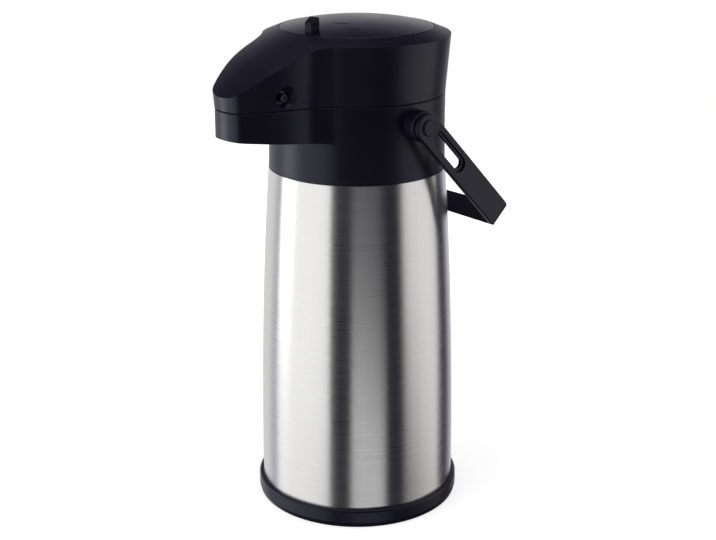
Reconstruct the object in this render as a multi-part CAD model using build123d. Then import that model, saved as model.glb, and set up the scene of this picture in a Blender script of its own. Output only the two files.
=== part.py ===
from build123d import *
from math import cos, degrees, hypot, pi, radians, sin, tan
import os

# Airpot: a steel vacuum jug with a pump lid, a pouring beak and a carrying bail.
# Millimetres. +Z is up, the origin is the middle of the foot, and the beak points to -Y.

# Clearances and walls
gap = 0.3
pin_fit = 0.05
snug = 0.02
shell_fit = 0.1
wall = 2.2
steel_wall = 0.8
screw_radius = 1.5
screw_head_radius = 2.9
screw_head_height = 1.8
screw_drive_radius = 1.2
screw_drive_depth = 1.0
over = 1.0

# Base
base_radius = 75.4
base_foot_radius = 74.6
base_height = 13.8
base_side_bottom = 4.0
base_top_round = 1.8
base_flange_height = 3.4
base_flange_bore = 53.0
base_screw_circle = 62.0
base_screw_count = 3
base_pillar_height = 7.0
base_screw_length = 4.0
base_foot_bevel = 1.0
cover_thickness = 2.4
foot_pad_radius = 50.0
foot_pad_thickness = 1.6
foot_pad_bevel = 0.4

# Steel shell
shell_foot_radius = 72.2
shell_middle_radius = 70.45
shell_middle_height = 130.0
shell_top_radius = 64.2
shell_top = 254.6

# Vacuum flask
flask_bottom = 13.6
flask_low_radius = 66.4
flask_high_radius = 61.0
flask_seam_height = 212.0
flask_neck_seam = 259.0
flask_shoulder_height = 226.0
flask_neck_radius = 39.0
flask_neck_foot = 262.0
flask_neck_top = 290.0
flask_heel_round = 14.0
flask_shoulder_round = 18.0
flask_throat_round = 8.0
cushion_radius = 42.0
cushion_bore = 14.0
gasket_height = 3.0
gasket_width = 5.0

# Collar
collar_foot = 254.8
collar_foot_radius = 63.9
collar_radius = 63.4
collar_straight_from = 284.0
collar_top = 309.2
collar_skirt_depth = 10.0
ledge_width = 5.9
ledge_thickness = 3.0

# Beak in plan, measured forward from the body's axis
beak_reach = 117.0
beak_nose_radius = 30.6
beak_side_radius = 101.0
beak_half = 29.3
beak_widest_reach = 60.6
beak_corner_round = 11.0
beak_root_round = 26.0
beak_floor_front = 290.0
beak_floor_back = 285.0
beak_floor_back_reach = 66.0
beak_wall_drop = 5.0
seam_bevel = 0.4

# Deck with the filling mouth and the pipe port
deck_top = 304.7
deck_thickness = 3.0
deck_screw_circle = 57.4
deck_screw_count = 3
deck_screw_length = 5.0
cup_radius = 44.0
cup_wall = 2.0
cup_floor = 2.7
mouth_radius = 22.0
mouth_wall = 3.0
mouth_back = 8.0
mouth_depth = 18.0
port_front = 29.0
port_radius = 6.9
port_depth = 9.0

# Pouring pipe
pipe_radius = 4.5
pipe_bore = 3.3
pipe_height = 300.5
pipe_bend = 6.5
spout_front = 104.0
nozzle_radius = 6.2
nozzle_tip_radius = 5.2
nozzle_tip_lift = 0.8
nozzle_height = 1.9
nozzle_seat = 0.5
pipe_end_lift = 0.4
tube_radius = 4.0
tube_bore = 3.0
tube_foot = 24.0
tube_top = 291.0
strainer_radius = 6.0
strainer_height = 10.0
strainer_floor = 1.2
strainer_slots = 4
strainer_slot_width = 2.0
strainer_slot_height = 5.0
seal_wall = 1.2

# Lid
lid_draft_angle = 4.9
lid_top = 366.0
plate_radius = 54.9
plate_edge_height = 355.4
rim_bevel = 0.5
top_line = ((66.8, 350.9), (78.4, 345.7), (91.0, 339.4), (104.7, 330.2), (118.5, 318.6))
top_line_end = 126.0
top_line_end_height = 309.0
top_line_inset = 2.0
top_line_rise = 0.9
well_wall = 2.0
well_rise = 2.0
well_bottom = 318.0
lid_base_bottom = 310.0
lid_base_thickness = 3.0
lid_screw_count = 4
lid_screw_circle = 57.9
lid_boss_radius = 3.4
lid_boss_height = 14.0
lid_hole_depth = 13.0
lid_screw_length = 11.0
mouth_seal_inner = 21.0
mouth_seal_outer = 26.0
seal_rib_width = 1.6
seal_rib_height = 3.0

# Pump
stroke = 20.0
dome_rise = 6.5
plate_wall = 2.2
plate_skirt = 12.0
bellows_radius = 40.0
bellows_fold = 7.0
bellows_folds = 5
bellows_skin = 1.2
bellows_crest = 0.3
bellows_trough = 0.65
bellows_rim_step = 2.0
pusher_thickness = 3.0
pusher_bottom = 343.0
hub_radius = 9.0
hub_top = 355.0
hub_post_radius = 4.0
pump_spring_radius = 14.0
pump_spring_wire = 1.8
pump_spring_turns = 5
outlet_hole_radius = 1.6
outlet_hole_circle = 5.0
outlet_hole_count = 6
flap_radius = 8.5
flap_thickness = 1.0
valve_stem_radius = 1.5
valve_head_radius = 2.4
valve_head_height = 1.4
intake_radius = 5.0
intake_back = 24.0
intake_hole_radius = 0.8
intake_hole_circle = 3.4

# Lock: the plate turns by its tab, and its legs then stand over posts in the lid
tab_angle = 10.0
tab_width = 6.6
tab_front = 51.0
tab_back = 42.8
tab_top = 366.7
tab_slope_drop = 3.2
tab_flat = 3.2
tab_round = 1.7
tab_side_round = 0.6
tab_peg_radius = 1.5
tab_peg_depth = 1.4
tab_groove_depth = 0.4
tab_groove_width = 0.8
tab_groove_count = 4
lock_turn = 25.0
lock_count = 3
lock_inner = 44.0
lock_outer = 49.0
lock_leg_angle = 12.0
lock_post_angle = 10.0
lock_play = 0.8
lock_first = -74.0

# Side latches
latch_front = 84.5
latch_side_reach = 25.0
latch_height = 318.3
latch_button_radius = 2.9
latch_button_end = 26.6
latch_button_round = 0.5
latch_dimple_radius = 1.5
latch_dimple_depth = 0.8
latch_pocket_floor = 22.4
latch_pocket_radius = 5.2
latch_funnel_from = 24.4
latch_funnel_mouth = 9.0
latch_funnel_end = 29.0
latch_boss_radius = 7.8
latch_boss_end = 19.5
latch_plate = 2.2
latch_plate_half = 3.5
latch_plate_up = 4.0
latch_toe_length = 1.8
latch_toe_bottom = 303.4
latch_toe_height = 2.1
catch_height = 2.2
latch_rib_half = 1.2
latch_rib_bottom = 312.0
latch_rib_side = 2.0
latch_spring_radius = 2.6
latch_spring_wire = 0.6
latch_spring_turns = 6
latch_peg_radius = 1.8
latch_peg_length = 4.0

# Hinge
hinge_back = 64.5
hinge_radius = 4.5
hinge_pin_radius = 1.5
hinge_half = 14.0
hinge_centre_half = 5.7
hinge_gusset_drop = 10.0
hinge_gusset_rise = 11.0
hinge_gusset_inset = 0.5
knuckle_outset = 0.8
knuckle_inset = 1.8

# Bail handle
pivot_height = 294.6
boss_radius = 10.8
boss_face = 72.9
boss_round = 1.5
bail_outer = 77.5
bail_arm = 4.2
bail_width = 19.8
bail_reach = 109.6
bail_bow = 1.5
bail_bar = 3.8
bail_corner = 9.5
bail_end_corner = 9.2
bail_edge_round = 0.9
bail_rest_angle = 43.6
slot_step_half = 5.9
slot_step_from = 6.2
slot_step_to = 47.5
slot_step_depth = 1.6
slot_half = 3.9
slot_from = 7.8
slot_to = 44.5
bail_pin_radius = 3.0
bail_pin_head_radius = 5.7
bail_pin_head = 1.4
bail_pin_head_round = 0.84
bail_pin_inner_end = 57.0


# Helpers

def on_axis(*lines):
    edges = [edge for line in lines for edge in (Plane.XZ * line).edges()]
    return revolve(make_face(edges), Axis.Z)


def turned(*points):
    return on_axis(Polyline(*points, close=True))


def upright(radius, low, high, x=0.0, y=0.0):
    return Pos(x, y, low) * extrude(Circle(radius), high - low)


def across(radius, left, right, y, z):
    return Pos(left, y, z) * Rot(0, 90, 0) * extrude(Circle(radius), right - left)


def block(x_from, x_to, y_from, y_to, z_from, z_to):
    corner = Pos((x_from + x_to) / 2, (y_from + y_to) / 2, (z_from + z_to) / 2)
    return corner * Box(x_to - x_from, y_to - y_from, z_to - z_from)


def side_shape(x_from, x_to, *points):
    outline = [(x_from, y, z) for y, z in points]
    return extrude(make_face(Polyline(*outline, close=True).edges()), x_to - x_from, dir=(1, 0, 0))


def ring_places(radius, count, start=0.0):
    angles = [start + 360 * k / count for k in range(count)]
    return [(radius * cos(radians(a)), radius * sin(radians(a))) for a in angles]


def sector(inner, outer, low, high, start, angle):
    edge = Plane.XZ * Polyline((inner, low), (outer, low), (outer, high), (inner, high), close=True)
    return Rot(0, 0, start) * revolve(make_face(edge.edges()), Axis.Z, revolution_arc=angle)


def screws(places, head_from, length, up=True):
    turn = 1 if up else -1
    pieces = []
    for x, y in places:
        neck = head_from + turn * screw_head_height
        tip = neck + turn * length
        head = upright(screw_head_radius, min(head_from, neck), max(head_from, neck), x, y)
        shank = upright(screw_radius, min(neck, tip), max(neck, tip), x, y)
        drive = upright(screw_drive_radius, head_from - screw_drive_depth, head_from + screw_drive_depth, x, y)
        pieces.append(head + shank - drive)
    return Compound(children=[piece.solid() for piece in pieces])


def coil(radius, wire, turns, length):
    # Half turns as arcs, each tangent to the next
    rise = (length - wire) / turns
    inset = wire / 2
    arcs = []
    for half in range(2 * turns):
        side = 1 if half % 2 == 0 else -1
        low = inset + rise * half / 2
        start = (side * radius, 0, low)
        middle = (0, side * radius, low + rise / 4)
        end = (-side * radius, 0, low + rise / 2)
        arcs.append(ThreePointArc(start, middle, end))
    path = Wire([arc.edge() for arc in arcs])
    section = Plane(origin=(radius, 0, inset), z_dir=(0, 1, 0)) * Circle(wire / 2)
    return sweep(section, path=path), rise - wire


# Outlines shared by the collar and the lid

def foremost_meeting(centre_a, radius_a, centre_b, radius_b):
    # The one of two circles' crossings that lies nearer the beak's tip
    across_x = centre_b[0] - centre_a[0]
    across_y = centre_b[1] - centre_a[1]
    apart = hypot(across_x, across_y)
    along = (radius_a ** 2 - radius_b ** 2 + apart ** 2) / (2 * apart)
    off_line = (radius_a ** 2 - along ** 2) ** 0.5
    crossings = [(centre_a[0] + (along * across_x - away * across_y) / apart,
                  centre_a[1] + (along * across_y + away * across_x) / apart) for away in (-off_line, off_line)]
    return min(crossings, key=lambda point: point[1])


def toward(centre, through, radius):
    run = hypot(through[0] - centre[0], through[1] - centre[1])
    return (centre[0] + (through[0] - centre[0]) * radius / run,
            centre[1] + (through[1] - centre[1]) * radius / run)


def arc_about(centre, radius, start, end):
    middle = ((start[0] + end[0]) / 2, (start[1] + end[1]) / 2)
    return ThreePointArc(start, toward(centre, middle, radius), end)


def plan(inset=0.0):
    # Tangent arcs about fixed centres, so that every inset has the same eight edges
    body = (0, 0)
    nose = (0, beak_nose_radius - beak_reach)
    flank = (beak_half - beak_side_radius, -beak_widest_reach)
    corner = foremost_meeting(nose, beak_nose_radius - beak_corner_round,
                              flank, beak_side_radius - beak_corner_round)
    root = foremost_meeting(body, collar_radius + beak_root_round, flank, beak_side_radius + beak_root_round)
    nose_end = toward(nose, corner, beak_nose_radius - inset)
    flank_start = toward(flank, corner, beak_side_radius - inset)
    flank_end = toward(flank, root, beak_side_radius - inset)
    body_start = toward(body, root, collar_radius - inset)
    right = [arc_about(corner, beak_corner_round - inset, nose_end, flank_start),
             arc_about(flank, beak_side_radius - inset, flank_start, flank_end),
             arc_about(root, beak_root_round + inset, flank_end, body_start)]
    edges = [arc.edge() for arc in right]
    edges += [edge.mirror(Plane.YZ) for edge in edges]
    nose_arc = ThreePointArc((-nose_end[0], nose_end[1]), (0, inset - beak_reach), nose_end)
    body_arc = ThreePointArc(body_start, (0, collar_radius - inset), (-body_start[0], body_start[1]))
    return make_face(edges + [nose_arc.edge(), body_arc.edge()])


def growth(rise):
    return rise * tan(radians(lid_draft_angle))


def flared(inset, low, high):
    return loft([Pos(0, 0, low) * plan(inset), Pos(0, 0, high) * plan(inset - growth(high - low))], ruled=True)


def flared_with_bevel(low, high):
    sections = [Pos(0, 0, low) * plan(seam_bevel),
                Pos(0, 0, low + seam_bevel) * plan(-growth(seam_bevel)),
                Pos(0, 0, high) * plan(-growth(high - low))]
    return loft(sections, ruled=True)


def above_top_line(drop=0.0):
    start = (plate_radius - top_line_inset, plate_edge_height + top_line_rise)
    points = [start] + list(top_line) + [(top_line_end, top_line_end_height)]
    line = Spline(*[(r, z - drop) for r, z in points])
    ceiling = lid_top + 10
    frame = Polyline((top_line_end, top_line_end_height - drop), (top_line_end, ceiling), (0, ceiling),
                     (0, start[1] - drop), (start[0], start[1] - drop))
    return on_axis(line, frame)


def dome_radius(rise):
    return (plate_radius ** 2 + rise ** 2) / (2 * rise)


# Body

def make_base_ring():
    bottom = Polyline((base_ring_bore(), base_height), (base_ring_bore(), base_flange_height),
                      (base_flange_bore, base_flange_height), (base_flange_bore, 0),
                      (base_foot_radius - base_foot_bevel, 0),
                      (base_foot_radius, base_foot_bevel), (base_radius, base_side_bottom),
                      (base_radius, base_height - base_top_round))
    mid = base_top_round * (1 - cos(pi / 4))
    crown = ThreePointArc((base_radius, base_height - base_top_round),
                          (base_radius - mid, base_height - mid),
                          (base_radius - base_top_round, base_height))
    lip = Line((base_radius - base_top_round, base_height), (base_ring_bore(), base_height))
    ring = on_axis(bottom, crown, lip)
    for x, y in ring_places(base_screw_circle, base_screw_count, 90):
        ring -= upright(screw_radius + pin_fit, -1, base_flange_height + 1, x, y)
        ring -= upright(screw_head_radius + gap, -1, screw_head_height + pin_fit, x, y)
    return ring


def base_ring_bore():
    return shell_foot_radius + shell_fit


def make_base_cover():
    low = base_flange_height
    rim = shell_foot_radius - steel_wall - gap
    disc = turned((0, foot_pad_thickness), (base_flange_bore - gap, foot_pad_thickness),
                  (base_flange_bore - gap, low), (rim, low), (rim, low + cover_thickness),
                  (0, low + cover_thickness))
    for x, y in ring_places(base_screw_circle, base_screw_count, 90):
        disc += upright(screw_head_radius + wall, low, low + base_pillar_height, x, y)
        disc -= upright(screw_radius + snug, low - over, low + base_pillar_height - over, x, y)
    return disc


def make_foot_pad():
    pad = upright(foot_pad_radius, 0, foot_pad_thickness)
    return chamfer(pad.edges().group_by(Axis.Z)[0], foot_pad_bevel)


def make_base_screws():
    return screws(ring_places(base_screw_circle, base_screw_count, 90), 0.0, base_screw_length)


def shell_line(inset):
    foot = base_flange_height
    drop = (shell_middle_height - foot) / shell_middle_height
    return ThreePointArc(
        (shell_foot_radius - inset, foot),
        (shell_middle_radius - inset, foot + drop * shell_middle_height),
        (shell_top_radius - inset, shell_top),
    )


def make_outer_shell():
    foot = base_flange_height
    foot_edge = Line((shell_foot_radius, foot), (shell_foot_radius - steel_wall, foot))
    top_edge = Line((shell_top_radius, shell_top), (shell_top_radius - steel_wall, shell_top))
    return on_axis(shell_line(0), top_edge, shell_line(steel_wall), foot_edge)


def flask_shape(inset, top):
    radii = [flask_heel_round - inset, flask_shoulder_round - inset, flask_throat_round + inset]
    wallside = FilletPolyline(
        (0, flask_bottom + inset),
        (flask_low_radius - inset, flask_bottom + inset),
        (flask_high_radius - inset, flask_shoulder_height),
        (flask_neck_radius - inset, flask_neck_foot),
        (flask_neck_radius - inset, top),
        radius=radii,
    )
    closing = Polyline((flask_neck_radius - inset, top), (0, top), (0, flask_bottom + inset))
    return on_axis(wallside, closing)


def flask_part(low, high):
    flask = flask_shape(0, flask_neck_top) - flask_shape(steel_wall, flask_neck_top + over)
    return flask & upright(flask_low_radius + over, low, high)


def make_inner_flask():
    return flask_part(flask_bottom, flask_seam_height)


def make_flask_shoulder():
    return flask_part(flask_seam_height, flask_neck_seam)


def make_flask_throat():
    return flask_part(flask_neck_seam, flask_neck_top)


def make_flask_cushion():
    low = base_flange_height + cover_thickness
    return turned((cushion_bore, low), (cushion_radius, low), (cushion_radius, flask_bottom),
                  (cushion_bore, flask_bottom))


def make_neck_gasket():
    middle = flask_neck_radius - steel_wall / 2
    inner = middle - gasket_width / 2
    outer = middle + gasket_width / 2
    high = flask_neck_top + gasket_height
    return turned((inner, flask_neck_top), (outer, flask_neck_top), (outer, high), (inner, high))


def floor_height(reach):
    slope = (beak_floor_front - beak_floor_back) / (beak_reach - beak_floor_back_reach)
    return beak_floor_back + slope * (reach - beak_floor_back_reach)


def beak_floor(lift):
    near = collar_radius / 2
    far = beak_reach + 10
    deep = beak_floor_back - 40
    return side_shape(-collar_radius, collar_radius, (-near, deep), (-far, deep),
                      (-far, floor_height(far) + lift), (-near, floor_height(near) + lift))


def nozzle_seat_height():
    return floor_height(spout_front + nozzle_radius) + wall + nozzle_seat


def hinge_knuckle(x_from, x_to):
    return across(hinge_radius, x_from, x_to, hinge_back, collar_top)


def make_collar():
    bevel_from = collar_top - seam_bevel
    body = turned((0, collar_foot), (collar_foot_radius, collar_foot), (collar_radius, collar_straight_from),
                  (collar_radius, bevel_from), (collar_radius - seam_bevel, collar_top), (0, collar_top))
    beak_low = beak_floor_back - beak_wall_drop
    rim = Pos(0, 0, collar_top) * plan(seam_bevel)
    beak = loft([Pos(0, 0, beak_low) * plan(), Pos(0, 0, bevel_from) * plan(), rim], ruled=True) - beak_floor(0)
    beak = beak - upright(collar_radius - wall, beak_low - 1, collar_top + 1)
    skirt_radius = shell_top_radius - steel_wall - gap
    skirt_low = collar_foot - collar_skirt_depth
    body = body + upright(skirt_radius, skirt_low, collar_foot) + beak
    for side in (-1, 1):
        boss = across(boss_radius, 0, boss_face, 0, 0)
        boss = fillet(boss.edges().sort_by(Axis.X)[-1], boss_round)
        turn = Rot(0, 0, 90 - 90 * side)
        body = body + Pos(0, 0, pivot_height) * turn * boss
    trough = Pos(0, 0, beak_low) * extrude(plan(wall), collar_top + 1 - beak_low) - beak_floor(wall)
    inside = upright(collar_radius - wall, skirt_low - 1, collar_top + 1)
    body = body - inside - trough
    body = body + upright(nozzle_radius, nozzle_seat_height() - wall, nozzle_seat_height(), 0, -spout_front)
    body = body + deck_ledge() + catches() + knuckle_gussets()
    hole = across(bail_pin_radius + snug, -boss_face - 1, boss_face + 1, 0, pivot_height)
    body = body - hole - hinge_cuts(hinge_centre_half + gap)
    body = body - upright(nozzle_tip_radius + snug, beak_low, collar_top, 0, -spout_front)
    return body - across(hinge_pin_radius + snug, -hinge_half - 1, hinge_half + 1, hinge_back, collar_top)


def deck_ledge():
    outer = collar_radius - wall / 2
    inner = collar_radius - wall - ledge_width
    high = deck_top - deck_thickness
    low = high - ledge_thickness
    ledge = turned((inner, low), (outer, low), (outer, high), (inner, high))
    ledge = ledge - block(-beak_half, beak_half, -collar_radius, 0, 0, collar_top)
    for x, y in deck_screw_places():
        ledge -= upright(screw_radius + snug, low - 1, high + 1, x, y)
    return ledge


def deck_screw_places():
    return ring_places(deck_screw_circle, deck_screw_count, 90)


def catches():
    low = latch_toe_bottom + latch_toe_height + gap
    inner_face = latch_boss_end - gap + latch_toe_length + gap
    front = -latch_front - latch_plate_half
    back = -latch_front + latch_plate_half
    shelf = block(inner_face, latch_side_reach, front, back, low, low + catch_height)
    return shelf + mirror(shelf, Plane.YZ)


def knuckle_gussets():
    points = ((collar_radius - wall, collar_top), (hinge_back + hinge_radius, collar_top),
              (collar_radius - hinge_gusset_inset, collar_top - hinge_gusset_drop),
              (collar_radius - wall, collar_top - hinge_gusset_drop))
    inner = hinge_centre_half + gap
    right = side_shape(inner, hinge_half, *points) + hinge_knuckle(inner, hinge_half)
    return right + mirror(right, Plane.YZ)


def hinge_cuts(half):
    return across(hinge_radius + gap, -half, half, hinge_back, collar_top)


def make_mouth_ring():
    rim = collar_radius - wall - gap
    low = flask_neck_top + gasket_height
    ring = turned((0, low), (cup_radius, low), (cup_radius, deck_top - deck_thickness),
                  (rim, deck_top - deck_thickness), (rim, deck_top), (cup_radius - cup_wall, deck_top),
                  (cup_radius - cup_wall, low + cup_floor), (0, low + cup_floor))
    ring = ring + upright(mouth_radius + mouth_wall, deck_top - mouth_depth, deck_top, 0, mouth_back)
    ring = ring + upright(port_radius, low - port_depth, low + cup_floor, 0, -port_front)
    ring = ring - upright(mouth_radius, low - mouth_depth, deck_top + 1, 0, mouth_back)
    ring = ring - upright(pipe_radius + pin_fit, tube_top, deck_top, 0, -port_front)
    ring = ring - upright(tube_radius + seal_wall + pin_fit, low - port_depth - 1, tube_top, 0, -port_front)
    half = pipe_radius + pin_fit
    elbow_front = port_front + pipe_radius + pipe_bend / 2
    ring = ring - block(-half, half, -collar_radius, -port_front, low + cup_floor, deck_top + 1)
    ring = ring - block(-half, half, -elbow_front, -port_front, pipe_height - pipe_bend, deck_top)
    for x, y in deck_screw_places():
        ring -= upright(screw_radius + pin_fit, deck_top - deck_thickness - 1, deck_top + 1, x, y)
    return ring


def make_deck_screws():
    return screws(deck_screw_places(), deck_top + screw_head_height, deck_screw_length, up=False)


def pipe_path(start):
    return FilletPolyline(
        (0, -port_front, start),
        (0, -port_front, pipe_height),
        (0, -spout_front, pipe_height),
        (0, -spout_front, spout_end()),
        radius=pipe_bend,
    )


def spout_end():
    return nozzle_seat_height() + pipe_end_lift


def make_spout_pipe():
    path = pipe_path(tube_top)
    section = Pos(0, -port_front, tube_top) * (Circle(pipe_radius) - Circle(pipe_bore))
    return sweep(section, path=path)


def make_spout_nozzle():
    seat = nozzle_seat_height()
    tip_low = floor_height(spout_front) + nozzle_tip_lift
    body = upright(nozzle_radius, seat, seat + nozzle_height, 0, -spout_front)
    body = body + upright(nozzle_tip_radius, tip_low, seat, 0, -spout_front)
    body = body - upright(pipe_radius + snug, spout_end(), seat + nozzle_height + 1, 0, -spout_front)
    return body - upright(pipe_bore, tip_low - 1, spout_end() + 1, 0, -spout_front)


def make_dip_tube():
    tube = upright(tube_radius, tube_foot, tube_top, 0, -port_front)
    return tube - upright(tube_bore, tube_foot - 1, tube_top + 1, 0, -port_front)


def make_tube_strainer():
    low = tube_foot - strainer_floor - strainer_slot_height
    cup = upright(strainer_radius, low, low + strainer_height, 0, -port_front)
    cup = cup - upright(tube_radius + snug, tube_foot, low + strainer_height + 1, 0, -port_front)
    cup = cup - upright(tube_bore, low + strainer_floor, tube_foot + 1, 0, -port_front)
    for k in range(strainer_slots // 2):
        slot = Box(2 * strainer_radius + 2, strainer_slot_width, strainer_slot_height - strainer_floor)
        middle = low + strainer_floor + (strainer_slot_height - strainer_floor) / 2
        cup = cup - Pos(0, -port_front, middle) * Rot(0, 0, 180 * k / (strainer_slots // 2)) * slot
    return cup


def make_port_seal():
    low = flask_neck_top + gasket_height - port_depth
    seal = upright(tube_radius + seal_wall, low, tube_top, 0, -port_front)
    return seal - upright(tube_radius + snug, low - 1, tube_top + 1, 0, -port_front)


def make_hinge_pin():
    return across(hinge_pin_radius, -hinge_half, hinge_half, hinge_back, collar_top)


def make_handle_pin(side):
    head_from = bail_outer + snug
    shaft = across(bail_pin_radius, bail_pin_inner_end, head_from, 0, 0)
    head = across(bail_pin_head_radius, head_from, head_from + bail_pin_head, 0, 0)
    head = fillet(head.edges().sort_by(Axis.X)[-1], bail_pin_head_round)
    return Pos(0, 0, pivot_height) * Rot(0, 0, 90 - 90 * side) * (shaft + head)


# Lid

def make_lid_shell():
    low = collar_top + gap
    shape = flared_with_bevel(low, lid_top) - above_top_line()
    cavity = flared(wall, low, lid_top) - above_top_line(wall)
    shell = shape - cavity
    well_outer = plate_radius + gap + well_wall
    well_top = plate_edge_height + well_rise
    shell = shell + (upright(well_outer, well_bottom, well_top) - above_top_line())
    for x, y in lid_screw_places():
        boss_low = lid_base_bottom + lid_base_thickness
        shell += upright(lid_boss_radius, boss_low, boss_low + lid_boss_height, x, y)
    shell = shell - plate_well(low)
    for x, y in lid_screw_places():
        shell -= upright(screw_radius + snug, low, low + lid_hole_depth, x, y)
    shell = shell + latch_housings() - latch_pockets() + lid_knuckle()
    shell = shell + hinge_knuckle(-hinge_centre_half, hinge_centre_half)
    side_room = across(hinge_radius + gap, hinge_centre_half, hinge_half + gap, hinge_back, collar_top)
    shell = shell - side_room - mirror(side_room, Plane.YZ)
    return shell - across(hinge_pin_radius + pin_fit, -hinge_half, hinge_half, hinge_back, collar_top)


def plate_well(low):
    # The plate's round well, with its rim bevelled
    bore = plate_radius + gap
    wide = bore + rim_bevel + over
    return turned((0, low - over), (bore, low - over), (bore, plate_edge_height - rim_bevel),
                  (wide, plate_edge_height + over), (wide, lid_top), (0, lid_top))


def lid_screw_places():
    return ring_places(lid_screw_circle, lid_screw_count, 45)


def lid_knuckle():
    high = collar_top + hinge_gusset_rise
    points = ((hinge_back + hinge_radius, collar_top), (collar_radius + knuckle_outset, high),
              (collar_radius - knuckle_inset, high), (collar_radius - knuckle_inset, collar_top))
    return side_shape(-hinge_centre_half, hinge_centre_half, *points)


def latch_housings():
    boss = across(latch_boss_radius, latch_boss_end, latch_funnel_end, -latch_front, latch_height)
    boss = boss & (flared(0, collar_top + gap, lid_top) - above_top_line())
    rib_half = latch_plate_half + latch_rib_side
    rib = block(-latch_rib_half, latch_rib_half, -latch_front - rib_half, -latch_front + rib_half,
                latch_rib_bottom, lid_top) - above_top_line(wall / 2)
    return boss + mirror(boss, Plane.YZ) + rib


def latch_pockets():
    # A straight pocket that opens into a funnel in the beak's side
    shaft_room = latch_button_radius + pin_fit
    hole = across(shaft_room, latch_boss_end - 1, latch_pocket_floor + 1, -latch_front, latch_height)
    pocket = across(latch_pocket_radius, latch_pocket_floor, latch_funnel_from + 1, -latch_front, latch_height)
    depth = latch_funnel_end - latch_funnel_from
    place = Pos(latch_funnel_from, -latch_front, latch_height) * Rot(0, 90, 0)
    funnel = place * Pos(0, 0, depth / 2) * Cone(latch_pocket_radius, latch_funnel_mouth, depth)
    cut = hole + pocket + funnel
    return cut + mirror(cut, Plane.YZ)


def make_lid_base():
    low = lid_base_bottom
    high = low + lid_base_thickness
    rim = collar_radius - wall - gap
    base = upright(rim, low, high) - hinge_cuts(hinge_half + gap)
    rib_low = low - seal_rib_height
    for radius in (mouth_seal_inner - snug, mouth_seal_outer + seal_rib_width):
        inner = radius - seal_rib_width + snug
        base += upright(radius, rib_low, low, 0, mouth_back) - upright(inner, rib_low, low, 0, mouth_back)
    for start in lock_starts():
        post_start = start - lock_turn - angle_of(gap) - lock_post_angle
        base += sector(lock_inner, lock_outer, high, lock_leg_bottom() - gap, post_start, lock_post_angle)
    for x, y in lid_screw_places():
        base -= upright(screw_radius + pin_fit, low - 1, high + 1, x, y)
    for x, y in ring_places(outlet_hole_circle, outlet_hole_count):
        base -= upright(outlet_hole_radius, low - 1, high + 1, x, y + mouth_back)
    return base - upright(valve_stem_radius + pin_fit, low - 1, high + 1, 0, mouth_back)


def make_lid_screws():
    return screws(lid_screw_places(), lid_base_bottom - screw_head_height, lid_screw_length)


def make_mouth_seal():
    high = lid_base_bottom
    low = deck_top + gap
    ring = upright(mouth_seal_outer, low, high, 0, mouth_back)
    return ring - upright(mouth_seal_inner, low - 1, high + 1, 0, mouth_back)


def make_outlet_valve():
    low = lid_base_bottom - flap_thickness
    high = lid_base_bottom + lid_base_thickness
    valve = upright(flap_radius, low, lid_base_bottom, 0, mouth_back)
    valve = valve + upright(valve_stem_radius, low, high, 0, mouth_back)
    return valve + upright(valve_head_radius, high, high + valve_head_height, 0, mouth_back)


def make_bellows():
    low = lid_base_bottom + lid_base_thickness
    high = pusher_bottom
    step = (high - low) / bellows_folds
    outside = [(bellows_radius, low)]
    for k in range(bellows_folds):
        outside.append((bellows_radius, low + step * (k + bellows_crest)))
        outside.append((bellows_radius - bellows_fold, low + step * (k + bellows_trough)))
    outside = outside[:-1] + [(bellows_radius - bellows_rim_step, high)]
    inside = [(r - 2 * bellows_skin, z) for r, z in reversed(outside)]
    return turned(*outside, *inside)


def make_pump_spring():
    low = lid_base_bottom + lid_base_thickness
    spring, self_gap = coil(pump_spring_radius, pump_spring_wire, pump_spring_turns, pusher_bottom - low)
    print(f"pump spring: least gap to itself {self_gap:.2f} mm")
    return Pos(0, mouth_back / 2, low) * spring


def make_latch_spring(side):
    seat = latch_rib_half
    length = latch_boss_end - gap - latch_plate - seat
    spring, self_gap = coil(latch_spring_radius, latch_spring_wire, latch_spring_turns, length)
    print(f"latch spring: least gap to itself {self_gap:.2f} mm")
    turn = Rot(0, 90 * side, 0)
    return Pos(side * seat, -latch_front, latch_height) * turn * spring


# Pump plate

def dome_solid(radius, low, inset, bevel=0.0):
    crown = dome_radius(dome_rise)
    apex = plate_edge_height + dome_rise - inset
    edge = radius - bevel
    sphere = crown - inset

    def height(r):
        return apex - sphere + (sphere ** 2 - r ** 2) ** 0.5

    arc = ThreePointArc((0, apex), (edge / 2, height(edge / 2)), (edge, height(edge)))
    corner = [(radius, height(edge) - bevel)] if bevel else []
    sides = Polyline((edge, height(edge)), *corner, (radius, low), (0, low), (0, apex))
    return on_axis(arc, sides)


def make_push_plate():
    low = plate_edge_height - plate_skirt
    hollow = dome_solid(plate_radius - plate_wall, low - over, plate_wall)
    plate = dome_solid(plate_radius, low, 0, rim_bevel) - hollow
    under = dome_solid(plate_radius, lock_leg_bottom() - 1, plate_wall / 2)
    plate += upright(hub_post_radius, pusher_bottom + pusher_thickness + gap, lid_top, 0, 0) & under
    plate += upright(hub_radius, hub_top + gap, lid_top, 0, 0) & under
    for start in lock_starts():
        plate += sector(lock_inner, lock_outer, lock_leg_bottom(), lid_top, start, lock_leg_angle) & under
    plate = plate - upright(screw_radius + snug, pusher_bottom, hub_top)
    return plate - upright(tab_peg_radius + snug, low, lid_top, *tab_place())


def angle_of(length):
    return degrees(length / lock_inner)


def lock_starts():
    return [lock_first + 360 * k / lock_count for k in range(lock_count)]


def lock_leg_bottom():
    return lid_base_bottom + lid_base_thickness + stroke + lock_play


def tab_place():
    middle = (tab_front + tab_back) / 2
    return middle * sin(radians(tab_angle)), -middle * cos(radians(tab_angle))


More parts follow.
